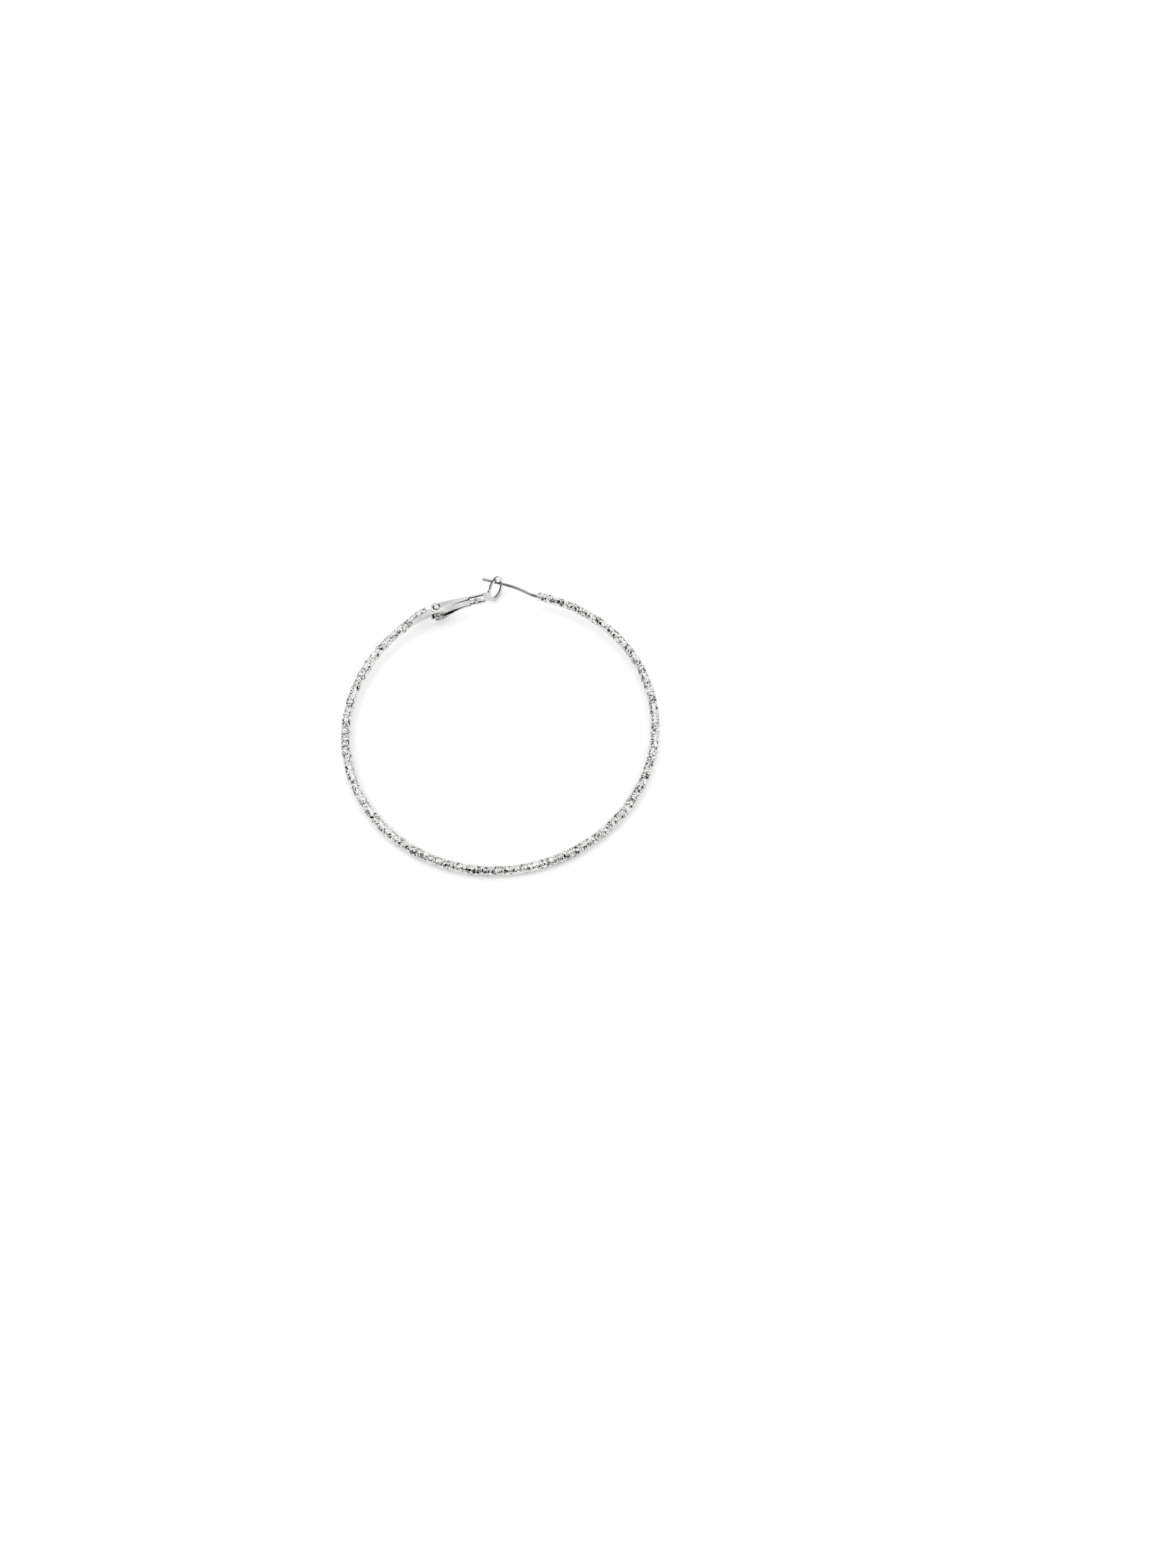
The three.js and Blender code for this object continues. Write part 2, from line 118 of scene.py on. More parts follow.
# scratches and draw lines are spaced 0.07 to 0.13 mm apart, wider than real ones, so that they show
steelFinishes = {
    # stainless wire, hammered and then tumbled bright: each dent is a small mirror with faint smears, and the
    # creases between the dents get painted shade (crease)
    "hammeredStainless": {"light": "#E5E5E3", "dark": "#D0D0CE", "rough": (0.02, 0.06), "cloudMm": 1.3,
                          "marksPerMm": 9.0, "marksStretch": (1, 1, 1), "bump": 0.10, "bumpMm": 0.004,
                          "dentMm": 0.34, "dentBump": 0.12, "dentBumpMm": 0.04,
                          "crease": "#424241", "creaseHeight": (0.0, 0.035), "creaseSpread": 0.042},
    # stainless sheet, pressed and polished: smooth with hairlines along its length
    "pressedStainless": {"light": "#DBDBDA", "dark": "#CBCBCA", "rough": (0.07, 0.15), "cloudMm": 4.0,
                         "marksPerMm": 14.0, "marksStretch": (0.08, 1, 1), "bump": 0.07, "bumpMm": 0.003},
    # stainless sheet, stamped and only tumbled: a little greyer and softer
    "stampedStainless": {"light": "#D9D9D8", "dark": "#C6C6C5", "rough": (0.12, 0.22), "cloudMm": 3.0,
                         "marksPerMm": 11.0, "marksStretch": (0.4, 1, 1), "bump": 0.10, "bumpMm": 0.004},
    # drawn stainless ear wire: smooth and bright, with fine draw lines along it; its colour is darker than
    # the other steels', a painted dark reflection
    "drawnStainless": {"light": "#B6B6B5", "dark": "#989897", "rough": (0.04, 0.10), "cloudMm": 2.0,
                       "marksPerMm": 12.0, "marksStretch": (0.1, 1, 1), "bump": 0.06, "bumpMm": 0.002},
    # painted shade and dark reflection: a dark colour put on the inside of the pressed channel and on the
    # other patches that use it; dull
    "paintedShadeAndReflection": {"light": "#3C3C3B", "dark": "#181818", "rough": (0.30, 0.45), "cloudMm": 1.2,
                            "marksPerMm": 8.0, "marksStretch": (0.5, 1, 1), "bump": 0.12, "bumpMm": 0.004},
    # the sheared edge of the ring, a little torn and not polished: grey
    "shearedStainless": {"light": "#7E7E7D", "dark": "#4C4C4B", "rough": (0.22, 0.36), "cloudMm": 0.9,
                         "marksPerMm": 10.0, "marksStretch": (1, 1, 1), "bump": 0.15, "bumpMm": 0.004},
    # the pressed knob of the spring, rubbed dull by the lever
    "rubbedStainless": {"light": "#DDDDDC", "dark": "#D0D0CF", "rough": (0.34, 0.44), "cloudMm": 0.7,
                        "marksPerMm": 10.0, "marksStretch": (1, 1, 1), "bump": 0.06, "bumpMm": 0.003},
    # painted light: the inside of the fork and of the lower heel coloured brighter, against the dark
    # reflections there; a little rough
    "paintedLightStainless": {"light": "#F8F8F7", "dark": "#EAEAE9", "rough": (0.28, 0.38), "cloudMm": 0.9,
                        "marksPerMm": 10.0, "marksStretch": (1, 1, 1), "bump": 0.06, "bumpMm": 0.003},
    # headed rivets, the brightest spots of the clasp
    "headedStainless": {"light": "#E1E1E0", "dark": "#CFCFCE", "rough": (0.03, 0.09), "cloudMm": 0.8,
                        "marksPerMm": 10.0, "marksStretch": (1, 1, 1), "bump": 0.05, "bumpMm": 0.003},
}

# what the patterns of all the finishes have in common
steelPattern = {
    "cloudDetail": 4.0,
    "cloudRoughness": 0.55,
    "marksDetail": 3.0,
    "marksRoughness": 0.6,
    "noiseLow": 0.3,
    "noiseHigh": 0.7,
    "darkAt": 0.35,
    "lightAt": 0.62,
    "punchSmoothness": 0.25,
}


def steelMaterial(name):
    finish = steelFinishes[name]
    material, tree, shader, coords = startMaterial(name)
    clouds = addNode(tree, "ShaderNodeTexNoise", {"Vector": coords, "Scale": 1 / (finish["cloudMm"] * mm),
                                                  "Detail": steelPattern["cloudDetail"],
                                                  "Roughness": steelPattern["cloudRoughness"]})
    stretched = addNode(tree, "ShaderNodeMapping", {"Vector": coords, "Scale": finish["marksStretch"]})
    marks = addNode(tree, "ShaderNodeTexNoise", {"Vector": stretched.outputs["Vector"],
                                                 "Scale": finish["marksPerMm"] / mm,
                                                 "Detail": steelPattern["marksDetail"],
                                                 "Roughness": steelPattern["marksRoughness"]})
    tint = addNode(tree, "ShaderNodeValToRGB", {"Fac": clouds.outputs["Fac"]})
    color = fillRamp(tint, [(steelPattern["darkAt"], finish["dark"]),
                            (steelPattern["lightAt"], finish["light"])])
    if "crease" in finish:
        # painted shade: the sharp creases between two hammer blows are coloured dark, more so in some places
        # than in others
        crease = addNode(tree, "ShaderNodeAttribute", attribute_name="crease")
        patchy = addNode(tree, "ShaderNodeMapRange", {"Value": clouds.outputs["Fac"],
                                                      "From Min": steelPattern["noiseLow"],
                                                      "From Max": steelPattern["noiseHigh"],
                                                      "To Min": -finish["creaseSpread"] / 2,
                                                      "To Max": finish["creaseSpread"] / 2})
        level = addNode(tree, "ShaderNodeMath", {0: crease.outputs["Fac"], 1: patchy.outputs["Result"]},
                        operation="ADD")
        low, high = finish["creaseHeight"]
        clear = addNode(tree, "ShaderNodeMapRange", {"Value": level.outputs[0], "From Min": low,
                                                     "From Max": high})
        shaded = addNode(tree, "ShaderNodeMix", {0: clear.outputs["Result"],
                                                 mixFirst: hexColor(finish["crease"]), mixSecond: color},
                         data_type="RGBA")
        color = shaded.outputs[mixResult]
    tree.links.new(color, shader.inputs["Base Color"])
    low, high = finish["rough"]
    rough = addNode(tree, "ShaderNodeMapRange", {"Value": marks.outputs["Fac"],
                                                 "From Min": steelPattern["noiseLow"],
                                                 "From Max": steelPattern["noiseHigh"],
                                                 "To Min": low, "To Max": high})
    tree.links.new(rough.outputs["Result"], shader.inputs["Roughness"])
    bump = addNode(tree, "ShaderNodeBump", {"Height": marks.outputs["Fac"], "Strength": finish["bump"],
                                            "Distance": finish["bumpMm"] * mm})
    if "dentMm" in finish:
        # small punch marks between the hammer blows
        punch = addNode(tree, "ShaderNodeTexVoronoi", {"Vector": coords, "Scale": 1 / (finish["dentMm"] * mm),
                                                       "Smoothness": steelPattern["punchSmoothness"]},
                        feature="SMOOTH_F1")
        bump = addNode(tree, "ShaderNodeBump", {"Height": punch.outputs["Distance"],
                                                "Strength": finish["dentBump"],
                                                "Distance": finish["dentBumpMm"] * mm,
                                                "Normal": bump.outputs["Normal"]})
    tree.links.new(bump.outputs["Normal"], shader.inputs["Normal"])
    shader.inputs["Metallic"].default_value = 1.0
    return material


materials = {name: steelMaterial(name) for name in steelFinishes}
print("materials ready")


# hoop: round wire swept round, hammered, ground flat for the shank and drilled for the post (mm, degrees)

hoopPlan = {
    "outerDiameter": 70.0,
    "wireDiameter": 2.0,
    "opening": 26.0,
    "spinSteps": 300,
    "cuts": 5,
    "sides": 52,
    "alongEdge": 0.5,  # edges of the swept wire that are longer run along it
    "startSlack": 0.1,  # radians past the post's end that still count as the hinge's end
    "flare": 0.6,
    "flareLength": 7.0,
    "dentPitch": 0.56,
    "dentWander": 0.36,
    "dentDepth": (0.02, 0.085),
    "dentBowl": 0.80,
    "dentTilt": 0.40,
    "ridge": 0.10,
    "ripple": 0.006,
    "rippleSize": 0.26,
    "dentSeed": 7,
    "endFade": 0.5,
    "endShrink": 0.08,
    "seatLength": 5.06,
    "seatHeight": 1.21,
    "seatSlope": 8.31,
    "seatReach": 3.0,  # how far from the shank the wire may be cut, in seat lengths
    "holeRadius": 0.40,
    "holeDepth": 3.0,
    "holeLine": (0.8616, -0.5075, 0.0),
}


cutSlack = 1e-8  # metres within which a cut takes a vertex as lying on it
stepSlack = 1e-6  # metres within which a vertex lies on the step of the seat


def easeStep(share):
    return share * share * (3 - 2 * share)


def hammerBlows(length, girth, plan):
    # one blow for each cell along and around the wire: its place, its depth and how the hammer was tilted
    blows = random.Random(plan["dentSeed"])
    rows = round(length / plan["dentPitch"])
    columns = round(girth / plan["dentPitch"])
    shallow, deep = plan["dentDepth"]
    dents = []
    for row in range(rows):
        dents.append([])
        for column in range(columns):
            u = row + 0.5 + plan["dentWander"] * blows.uniform(-1, 1)
            v = column + (row % 2) / 2 + plan["dentWander"] * blows.uniform(-1, 1)
            tilt = [plan["dentTilt"] * blows.uniform(-1, 1) for _ in range(2)]
            dents[-1].append((u * length / rows, v * girth / columns, blows.uniform(shallow, deep), *tilt))
    return dents


def dentHeight(u, v, length, girth, dents, plan):
    # the lowest of the blows round about, so that ridges stand where two of them meet
    rows, columns = len(dents), len(dents[0])
    row = int(u / length * rows)
    column = int(v / girth * columns)
    height = above = plan["ridge"]
    for near in range(max(0, row - 1), min(rows, row + 2)):
        for beside in range(column - 2, column + 3):
            dentU, dentV, depth, tiltU, tiltV = dents[near][beside % columns]
            du = u - dentU
            dv = (v - dentV + girth / 2) % girth - girth / 2
            bowl = (du * du + dv * dv) / (2 * plan["dentBowl"]) + tiltU * du + tiltV * dv - depth
            height, above = (bowl, height) if bowl < height else (height, min(above, bowl))
    return height, above - height


def buildHoop(plan):
    wire = plan["wireDiameter"] / 2
    ring = plan["outerDiameter"] / 2 - wire
    halfOpening = math.asin(plan["opening"] / 2 / ring)
    start = math.pi / 2 + halfOpening
    sweep = 2 * (math.pi - halfOpening)
    bm = bmesh.new()
    upright = (
        Matrix.Rotation(start, 4, "Z")
        @ Matrix.Translation((ring, 0, 0))
        @ Matrix.Rotation(math.pi / 2, 4, "X")
    )
    bmesh.ops.create_circle(bm, segments=plan["sides"], radius=wire, matrix=upright)
    bmesh.ops.spin(bm, geom=bm.verts[:] + bm.edges[:], cent=(0, 0, 0), axis=(0, 0, 1), dvec=(0, 0, 0),
                   angle=sweep, steps=plan["spinSteps"], use_duplicate=False)
    along = [e for e in bm.edges if (e.verts[0].co - e.verts[1].co).length > plan["alongEdge"]]
    bmesh.ops.subdivide_edges(bm, edges=along, cuts=plan["cuts"])
    length = sweep * ring
    girth = 2 * math.pi * wire
    dents = hammerBlows(length, girth, plan)
    creases = bm.verts.layers.float.new("crease")
    for vert in bm.verts:
        angle = (math.atan2(vert.co.y, vert.co.x) - start) % (2 * math.pi)
        if angle > sweep + plan["startSlack"]:
            angle = 0.0
        middle = Vector((math.cos(start + angle), math.sin(start + angle), 0))
        outwards = (vert.co - middle * ring).normalized()
        fromHinge = angle * ring
        fromPost = (sweep - angle) * ring
        fade = easeStep(min(1.0, fromHinge / plan["endFade"], fromPost / plan["endFade"]))
        around = math.atan2(vert.co.z, (vert.co - middle * ring).dot(middle)) % (2 * math.pi)
        dent, vert[creases] = dentHeight(fromHinge, around * wire, length, girth, dents, plan)
        dent += plan["ripple"] * noise.noise(vert.co / plan["rippleSize"])
        flared = fromHinge / plan["flareLength"]
        flare = plan["flare"] * (1 - easeStep(flared)) if flared < 1 else 0.0
        reach = wire + dent * fade - plan["endShrink"] * (1 - fade)
        vert.co = middle * (ring + flare) + outwards * reach
    bmesh.ops.transform(bm, matrix=hoopPlace @ Matrix.Scale(mm, 4), verts=bm.verts)
    return bm


def makePiece(name, bm, material, body, replaced=()):
    mesh = bpy.data.meshes.new(name)
    bm.to_mesh(mesh)
    bm.free()
    mesh.materials.append(material)
    piece = bpy.data.objects.new(name, mesh)
    bpy.context.scene.collection.objects.link(piece)
    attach(piece, body)
    if replaced:
        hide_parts(*replaced)
    return piece


def drillPostEnd(bm, cap, plan):
    # a hole for the post, in the middle of the cut end
    rim = plan["wireDiameter"] / 2 - plan["endShrink"] - plan["holeRadius"]
    bmesh.ops.inset_region(bm, faces=[cap], thickness=rim * mm, use_even_offset=True)
    bottom = bmesh.ops.extrude_discrete_faces(bm, faces=[cap])["faces"]
    inwards = hoopPlace.to_3x3() @ Vector(plan["holeLine"])
    bmesh.ops.translate(bm, verts=bottom[0].verts[:], vec=inwards * plan["holeDepth"] * mm)


def withOutlines(faces):
    # the faces with their edges and corners, each once
    edges = [e for f in faces for e in f.edges]
    corners = [v for f in faces for v in f.verts]
    return list(dict.fromkeys(faces + edges + corners))


def grindSeat(bm, plan):
    # the shank lies against a flat ground on the inner side of the hinge end
    toShank = shankPlace.inverted()
    back = -plan["seatLength"] * mm
    step = shankPlace @ Vector((back, 0, 0))
    flat = shankPlace @ Vector((0, plan["seatHeight"] * mm, 0))
    seatTurn = Matrix.Rotation(deg(plan["seatSlope"]), 3, "Z")
    alongShank = shankPlace.to_3x3() @ Vector((1, 0, 0))
    acrossShank = shankPlace.to_3x3() @ seatTurn @ Vector((0, 1, 0))
    reach = plan["seatReach"] * plan["seatLength"] * mm
    near = [f for f in bm.faces if (toShank @ f.calc_center_median()).length < reach]
    bmesh.ops.bisect_plane(bm, geom=withOutlines(near), dist=cutSlack, plane_co=step, plane_no=alongShank)
    end = [f for f in bm.faces if (toShank @ f.calc_center_median()).x > back
           and (toShank @ f.calc_center_median()).length < reach]
    bmesh.ops.bisect_plane(bm, geom=withOutlines(end), dist=cutSlack, plane_co=flat, plane_no=acrossShank,
                           clear_inner=True)
    rim = [e for e in bm.edges if e.is_boundary]
    arc = [e for e in rim if all((toShank @ v.co).x < back + stepSlack for v in e.verts)]
    corners = dict.fromkeys(v for e in arc for v in e.verts)
    ends = [v for v in corners if sum(v in e.verts for e in arc) == 1]
    chord = bm.edges.new(ends)
    stepFace = bmesh.ops.contextual_create(bm, geom=arc + [chord])["faces"]
    rest = [e for e in bm.edges if e.is_boundary]
    seatFace = bmesh.ops.contextual_create(bm, geom=rest)["faces"]
    print("seat ground:", len(stepFace), "step and", len(seatFace), "flat")
    return stepFace + seatFace


bm = buildHoop(hoopPlan)
caps = bmesh.ops.holes_fill(bm, edges=[e for e in bm.edges if e.is_boundary], sides=0)["faces"]
postCap = max(caps, key=lambda f: f.calc_center_median().x)
for face in bm.faces:
    face.smooth = face not in caps
drillPostEnd(bm, postCap, hoopPlan)
for face in grindSeat(bm, hoopPlan):
    face.smooth = False
bmesh.ops.recalc_face_normals(bm, faces=bm.faces)
hoop = makePiece("hammered_hoop", bm, materials["hammeredStainless"], "earring", ["hoop"])
print("hoop:", len(hoop.data.polygons), "faces")


# clasp and post: the solids with their edges broken and their round faces smoothed. A patch is a part of the
# surface with another finish, most patches carrying painted shade, painted dark reflections and painted
# light: the faces inside its box (clasp frame, mm) that look towards a direction, and where it has a slanting
# end, only those beyond it

finishPlan = {"mergeMm": 0.001, "flatAngle": 0.6, "snapMm": 0.003, "bevelAngle": 32.0}


def finishPiece(node, plan):
    bm = bmesh.new()
    bm.from_mesh(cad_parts[node].data)
    bmesh.ops.remove_doubles(bm, verts=bm.verts, dist=finishPlan["mergeMm"] * mm)
    bmesh.ops.dissolve_limit(bm, angle_limit=deg(finishPlan["flatAngle"]), verts=bm.verts, edges=bm.edges)
    patches = plan.get("patches", [])
    toClasp = claspPlace.inverted()
    for patch in patches:
        cuts = [((along, 0, 0), (1, 0, 0)) for along in patch["box"][0]]
        if "beyond" in patch:
            cuts.append(patch["beyond"])
        for point, across in cuts:
            bmesh.ops.bisect_plane(bm, geom=bm.verts[:] + bm.edges[:] + bm.faces[:],
                                   dist=finishPlan["snapMm"] * mm,
                                   plane_co=claspPlace @ (Vector(point) * mm),
                                   plane_no=claspPlace.to_3x3() @ Vector(across).normalized())
    for face in bm.faces:
        face.smooth = True
        middle = (toClasp @ face.calc_center_median()) / mm
        normal = toClasp.to_3x3() @ face.normal
        for index, patch in enumerate(patches):
            inBox = all(low < value < high for value, (low, high) in zip(middle, patch["box"]))
            point, across = patch.get("beyond", (middle, (0, 0, 0)))
            low, high = patch["share"]
            turned = low < normal.dot(Vector(patch["towards"])) < high
            if inBox and turned and (middle - Vector(point)).dot(Vector(across)) >= 0:
                face.material_index = index + 1
    piece = makePiece(plan["piece"], bm, materials[plan["finish"]], plan["body"], [node])
    for patch in patches:
        piece.data.materials.append(materials[patch["finish"]])
    bevel = piece.modifiers.new("brokenEdges", "BEVEL")
    bevel.width = plan["edge"] * mm
    bevel.segments = plan["segments"]
    bevel.limit_method = "ANGLE"
    bevel.angle_limit = deg(finishPlan["bevelAngle"])
    bevel.harden_normals = True


leverPlan = {
    "piece": "polished_lever", "body": "lever", "slot": "lever_steel",
    "finish": "pressedStainless", "edge": 0.13, "segments": 4,
    "patches": [
        # painted shade on the edge above the slot
        {"finish": "paintedShadeAndReflection", "towards": (0, -1, 0), "share": (0.9, 1.1),
         "box": ((7.85, 11.3), (0.6, 1.1), (0.95, 1.45))},
        # painted shade on the sheet below the knob
        {"finish": "paintedShadeAndReflection", "towards": (0, -1, 0), "share": (0.9, 1.1),
         "box": ((8.5, 10.4), (1.0, 1.3), (-1.05, -0.6))},
        # painted shade and dark reflection on the inside of the lower cheek
        {"finish": "paintedShadeAndReflection", "towards": (0, 0, 1), "share": (0.9, 1.1),
         "box": ((1.4, 7.85), (-1.3, 1.3), (-1.35, -0.95)), "beyond": ((0, -0.17, 0), (-0.085, 1, 0))},
        # painted shade on the inside of the back, beside the tongue
        {"finish": "paintedShadeAndReflection", "towards": (0, -1, 0), "share": (0.9, 1.1),
         "box": ((1.4, 7.85), (0.9, 1.3), (-1.35, 1.35))},
        # painted light on the inside of the lower heel
        {"finish": "paintedLightStainless", "towards": (0, 0, 1), "share": (0.9, 1.1),
         "box": ((-1.45, 1.4), (-1.45, 1.45), (-1.4, -1.2))},
        # the edge of the ring
        {"finish": "shearedStainless", "towards": (0.716, -0.698, 0), "share": (-0.3, 0.3),
         "box": ((12.9, 17.0), (1.5, 6.0), (-3.1, 3.1))},
    ],
}
finishPiece("clasp_lever", leverPlan)

bracketPlan = {
    "piece": "tumbled_bracket", "body": "earring", "slot": "bracket_steel",
    "finish": "stampedStainless", "edge": 0.06, "segments": 3,
    "patches": [
        # the knob
        {"finish": "rubbedStainless", "towards": (0, -1, 0), "share": (-1.1, 1.1),
         "box": ((8.7, 9.95), (0.2, 1.6), (-0.62, 0.62))},
        # painted shade along the upper long edge of the tongue
        {"finish": "paintedShadeAndReflection", "towards": (0, -1, 0), "share": (-0.5, 1.1),
         "box": ((3.6, 7.9), (-0.3, 1.2), (0.5, 0.99)), "beyond": ((3.6, 0, 0.88), (0.035, 0, 1))},
        # painted shade along the lower long edge of the tongue
        {"finish": "paintedShadeAndReflection", "towards": (0, -1, 0), "share": (-0.5, 1.1),
         "box": ((2.2, 7.9), (-0.3, 1.2), (-0.99, -0.5)), "beyond": ((2.2, 0, -0.80), (0, 0, -1))},
        # painted shade in the inner corner of the fork
        {"finish": "paintedShadeAndReflection", "towards": (0, 0, 1), "share": (0.9, 1.1),
         "box": ((-1.6, -1.05), (-1.1, 0.95), (-0.95, -0.7))},
        # painted light on the inside of the lower ear
        {"finish": "paintedLightStainless", "towards": (0, 0, 1), "share": (0.9, 1.1),
         "box": ((-1.05, 0.96), (-1.1, 0.95), (-0.95, -0.7))},
    ],
}
finishPiece("hinge_bracket", bracketPlan)

upperRivetPlan = {
    "piece": "domed_rivet_upper", "body": "earring", "slot": "rivet_steel",
    "finish": "headedStainless", "edge": 0.04, "segments": 2,
    "patches": [
        # the two flanks of the head: painted dark reflection, a dark colour beside the bright top
        {"finish": "paintedShadeAndReflection", "towards": (0, 0, 1), "share": (-0.5, 1.1),
         "box": ((-1.0, -0.5), (-0.75, 0.35), (1.7, 2.3))},
        {"finish": "paintedShadeAndReflection", "towards": (0, 0, 1), "share": (-0.5, 1.1),
         "box": ((0.5, 1.0), (-0.35, 0.75), (1.7, 2.3))},
    ],
}
finishPiece("hinge_rivet_upper", upperRivetPlan)

lowerRivetPlan = {
    "piece": "domed_rivet_lower", "body": "earring", "slot": "rivet_steel",
    "finish": "headedStainless", "edge": 0.04, "segments": 2,
}
finishPiece("hinge_rivet_lower", lowerRivetPlan)

postPlan = {
    "piece": "drawn_post", "body": "earring", "slot": "post_steel",
    "finish": "drawnStainless", "edge": 0.04, "segments": 2,
}
finishPiece("ear_post", postPlan)
print("clasp and post finished")


# table, camera and light

tablePlan = {
    "size": 3.0,  # metres
    "paper": "#F4F4F4",
    "rough": 0.9,
    "specular": 0.1,
    "fibreMm": 0.6,
    "fibreDetail": 3.0,
    "fibreBump": 0.02,
    "fibreBumpMm": 0.02,
}


def buildTable(plan):
    material, tree, shader, coords = startMaterial("whitePaper")
    fibres = addNode(tree, "ShaderNodeTexNoise", {"Vector": coords, "Scale": 1 / (plan["fibreMm"] * mm),
                                                  "Detail": plan["fibreDetail"]})
    bump = addNode(tree, "ShaderNodeBump", {"Height": fibres.outputs["Fac"], "Strength": plan["fibreBump"],
                                            "Distance": plan["fibreBumpMm"] * mm})
    tree.links.new(bump.outputs["Normal"], shader.inputs["Normal"])
    shader.inputs["Base Color"].default_value = hexColor(plan["paper"])
    shader.inputs["Roughness"].default_value = plan["rough"]
    shader.inputs["Specular IOR Level"].default_value = plan["specular"]
    bm = bmesh.new()
    bmesh.ops.create_grid(bm, x_segments=1, y_segments=1, size=plan["size"] / 2)
    mesh = bpy.data.meshes.new("table")
    bm.to_mesh(mesh)
    bm.free()
    mesh.materials.append(material)
    table = bpy.data.objects.new("table", mesh)
    bpy.context.scene.collection.objects.link(table)


buildTable(tablePlan)

# above the table, at the angle of the photo (mm, degrees)
cameraPlan = {
    "place": (4.206, -90.254, 158.990),
    "turn": (24.448, 0.136, -9.998),
    "lens": 18.60,
    "sensor": 36.0,
    "nearest": 1.0,
}
cameraData = bpy.data.cameras.new("photoView")
cameraData.lens = cameraPlan["lens"]
cameraData.sensor_width = cameraPlan["sensor"]
cameraData.clip_start = cameraPlan["nearest"] * mm
camera = bpy.data.objects.new("photoView", cameraData)
camera.location = Vector(cameraPlan["place"]) * mm
camera.rotation_euler = [deg(a) for a in cameraPlan["turn"]]
bpy.context.scene.collection.objects.link(camera)
bpy.context.scene.camera = camera

# a white tent all round. Polished metal picks out of it a few patches, a dim band just above the table that
# is darkest to the left and right, and the gaps between the cloths. The table is lit evenly
tentPlan = {
    "tent": 1.42,
    "even": "#FFFFFF",
    "paperLight": 1.26,
    "backdrop": "#FEFEFE",
    "patches": [
        # the opening that the camera looks through
        {"towards": (-0.28, -0.60, 0.75), "inner": 13.0, "outer": 26.0, "shade": "#040404"},
        # a gap beside it, which the ear post picks up along its whole length
        {"towards": (-0.56, -0.26, 0.79), "inner": 12.0, "outer": 19.0, "shade": "#0A0A0A"},
        # a dimmer cloth at the back, which the flat sides of the clasp pick up
        {"towards": (-0.07, 0.77, 0.64), "inner": 6.0, "outer": 22.0, "shade": "#FFFFFF"},
    ],
    "band": [(0.0, "#FFFFFF"), (0.495, "#FFFFFF"), (0.505, "#000000"),
             (0.57, "#202020"), (0.64, "#FFFFFF")],
    "bandFront": "#9A9A9A",
    "bandSides": "#101010",
    "bandTurn": (0.25, 0.6),  # how far aside the band goes from its front shade to its side shade
    "gapShade": "#050505",
    "gapDetail": 1.0,
    "gapScale": 3.2,
    "gaps": [(0.0, "#FFFFFF"), (0.50, "#FFFFFF"), (0.55, "#2A2A2A"), (0.58, "#0A0A0A"), (1.0, "#000000")],
}


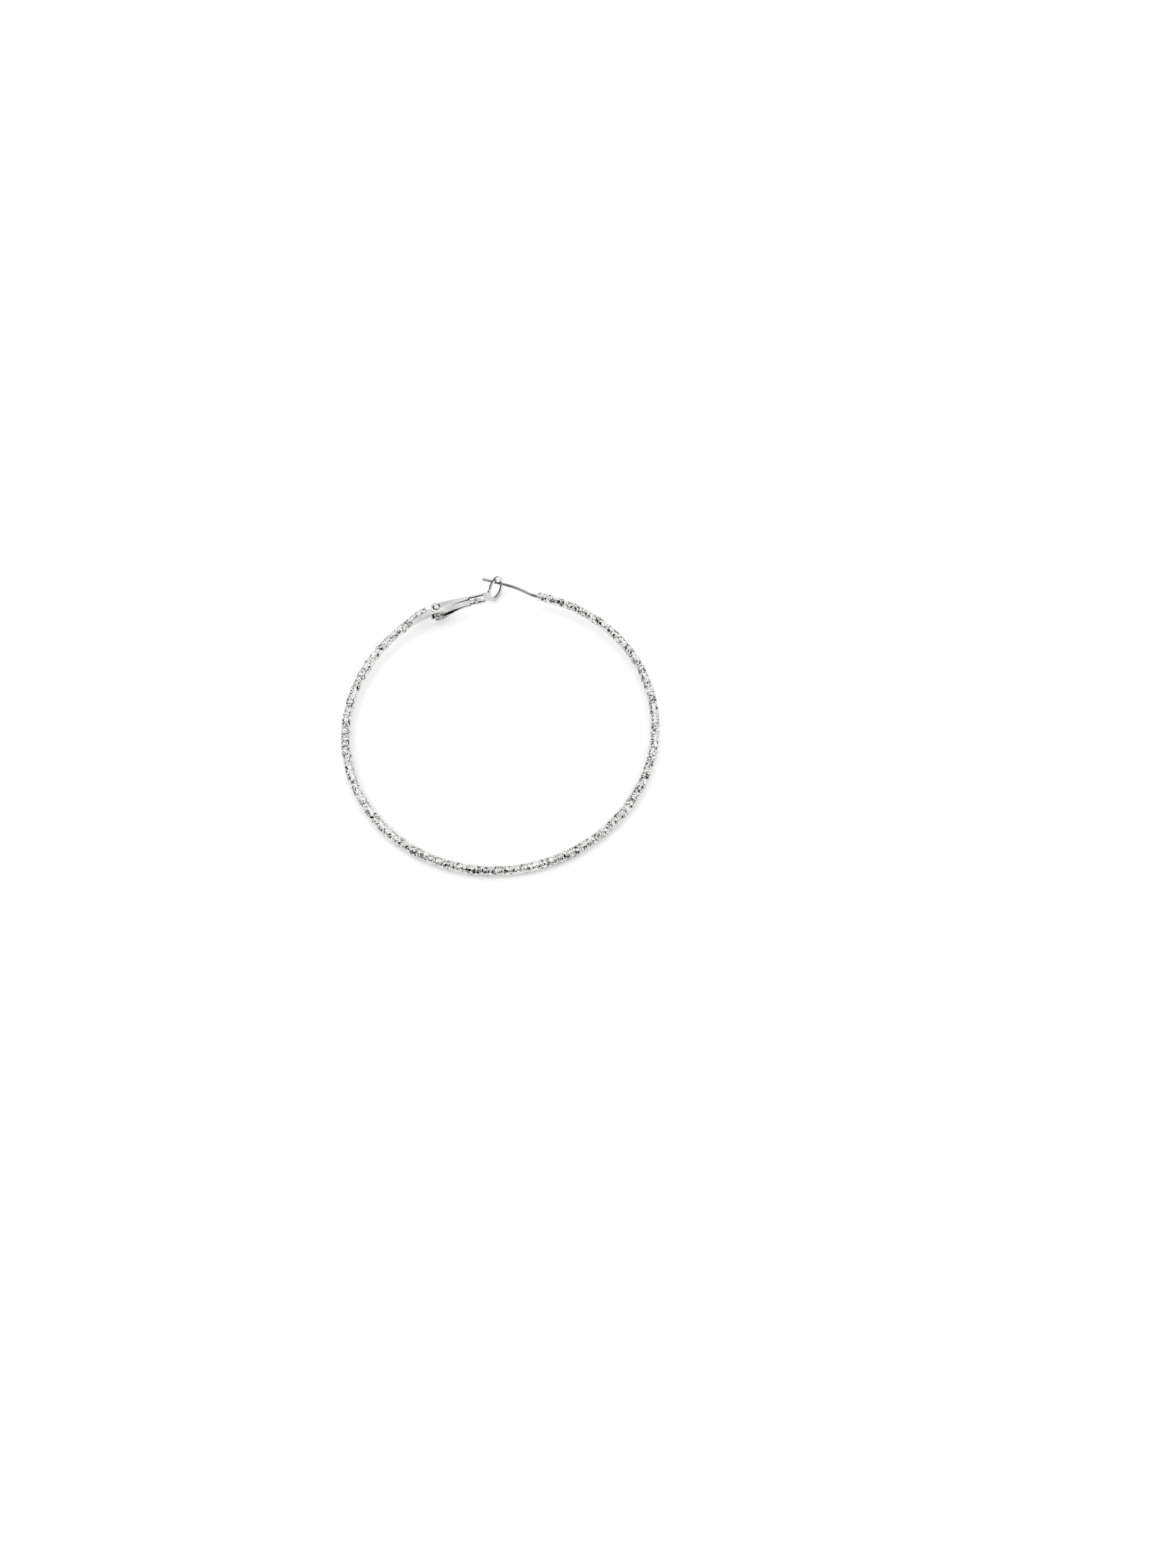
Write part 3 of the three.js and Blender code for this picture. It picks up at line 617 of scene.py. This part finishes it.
def buildTent(plan):
    world = bpy.data.worlds.new("lightTent")
    bpy.context.scene.world = world
    world.use_nodes = True
    tree = world.node_tree
    tree.nodes.clear()
    coords = addNode(tree, "ShaderNodeTexCoord").outputs["Generated"]
    split = addNode(tree, "ShaderNodeSeparateXYZ", {"Vector": coords})
    height = addNode(tree, "ShaderNodeMapRange", {"Value": split.outputs["Z"], "From Min": -1.0,
                                                  "From Max": 1.0})
    band = addNode(tree, "ShaderNodeValToRGB", {"Fac": height.outputs["Result"]})
    aside = addNode(tree, "ShaderNodeMath", {0: split.outputs["X"]}, operation="ABSOLUTE")
    front, side = plan["bandTurn"]
    sideness = addNode(tree, "ShaderNodeMapRange", {"Value": aside.outputs[0], "From Min": front,
                                                    "From Max": side})
    bandShade = addNode(tree, "ShaderNodeMix", {0: sideness.outputs["Result"],
                                                mixFirst: hexColor(plan["bandFront"]),
                                                mixSecond: hexColor(plan["bandSides"])}, data_type="RGBA")
    white = (plan["tent"],) * 3 + (1.0,)
    walls = addNode(tree, "ShaderNodeMix", {0: fillRamp(band, plan["band"]),
                                            mixFirst: bandShade.outputs[mixResult], mixSecond: white},
                    data_type="RGBA").outputs[mixResult]
    folds = addNode(tree, "ShaderNodeTexNoise", {"Vector": coords, "Scale": plan["gapScale"],
                                                 "Detail": plan["gapDetail"]})
    gaps = addNode(tree, "ShaderNodeValToRGB", {"Fac": folds.outputs["Fac"]})
    walls = addNode(tree, "ShaderNodeMix", {0: fillRamp(gaps, plan["gaps"]),
                                            mixFirst: hexColor(plan["gapShade"]), mixSecond: walls},
                    data_type="RGBA").outputs[mixResult]
    for patch in plan["patches"]:
        towards = Vector(patch["towards"]).normalized()
        facing = addNode(tree, "ShaderNodeVectorMath", {0: coords, 1: towards}, operation="DOT_PRODUCT")
        inside = addNode(tree, "ShaderNodeMapRange", {"Value": facing.outputs["Value"],
                                                      "From Min": math.cos(deg(patch["outer"])),
                                                      "From Max": math.cos(deg(patch["inner"]))})
        walls = addNode(tree, "ShaderNodeMix", {0: inside.outputs["Result"], mixFirst: walls,
                                                mixSecond: hexColor(patch["shade"])},
                        data_type="RGBA").outputs[mixResult]
    path = addNode(tree, "ShaderNodeLightPath")
    seen = addNode(tree, "ShaderNodeBackground", {"Color": hexColor(plan["backdrop"]), "Strength": 1.0})
    lit = addNode(tree, "ShaderNodeBackground", {"Color": walls, "Strength": 1.0})
    even = addNode(tree, "ShaderNodeBackground", {"Color": hexColor(plan["even"]),
                                                  "Strength": plan["paperLight"]})
    soft = addNode(tree, "ShaderNodeMixShader", {"Fac": path.outputs["Is Diffuse Ray"], 1: lit.outputs[0],
                                                 2: even.outputs[0]})
    mixed = addNode(tree, "ShaderNodeMixShader", {"Fac": path.outputs["Is Camera Ray"], 1: soft.outputs[0],
                                                  2: seen.outputs[0]})
    addNode(tree, "ShaderNodeOutputWorld", {"Surface": mixed.outputs[0]})


buildTent(tentPlan)

# a large faint lamp above and behind (metres, watts)
softboxPlan = {"place": (-0.12, 0.38, 0.9), "size": 0.8, "power": 1.0}


def buildSoftbox(plan):
    data = bpy.data.lights.new("softbox", "AREA")
    data.shape = "SQUARE"
    data.size = plan["size"]
    data.energy = plan["power"]
    lamp = bpy.data.objects.new("softbox", data)
    lamp.location = plan["place"]
    lamp.rotation_euler = Vector(plan["place"]).to_track_quat("Z", "Y").to_euler()
    bpy.context.scene.collection.objects.link(lamp)


buildSoftbox(softboxPlan)
bpy.context.scene.view_settings.view_transform = "Standard"
bpy.context.scene.view_settings.exposure = 0.0
print("table, camera and light ready")
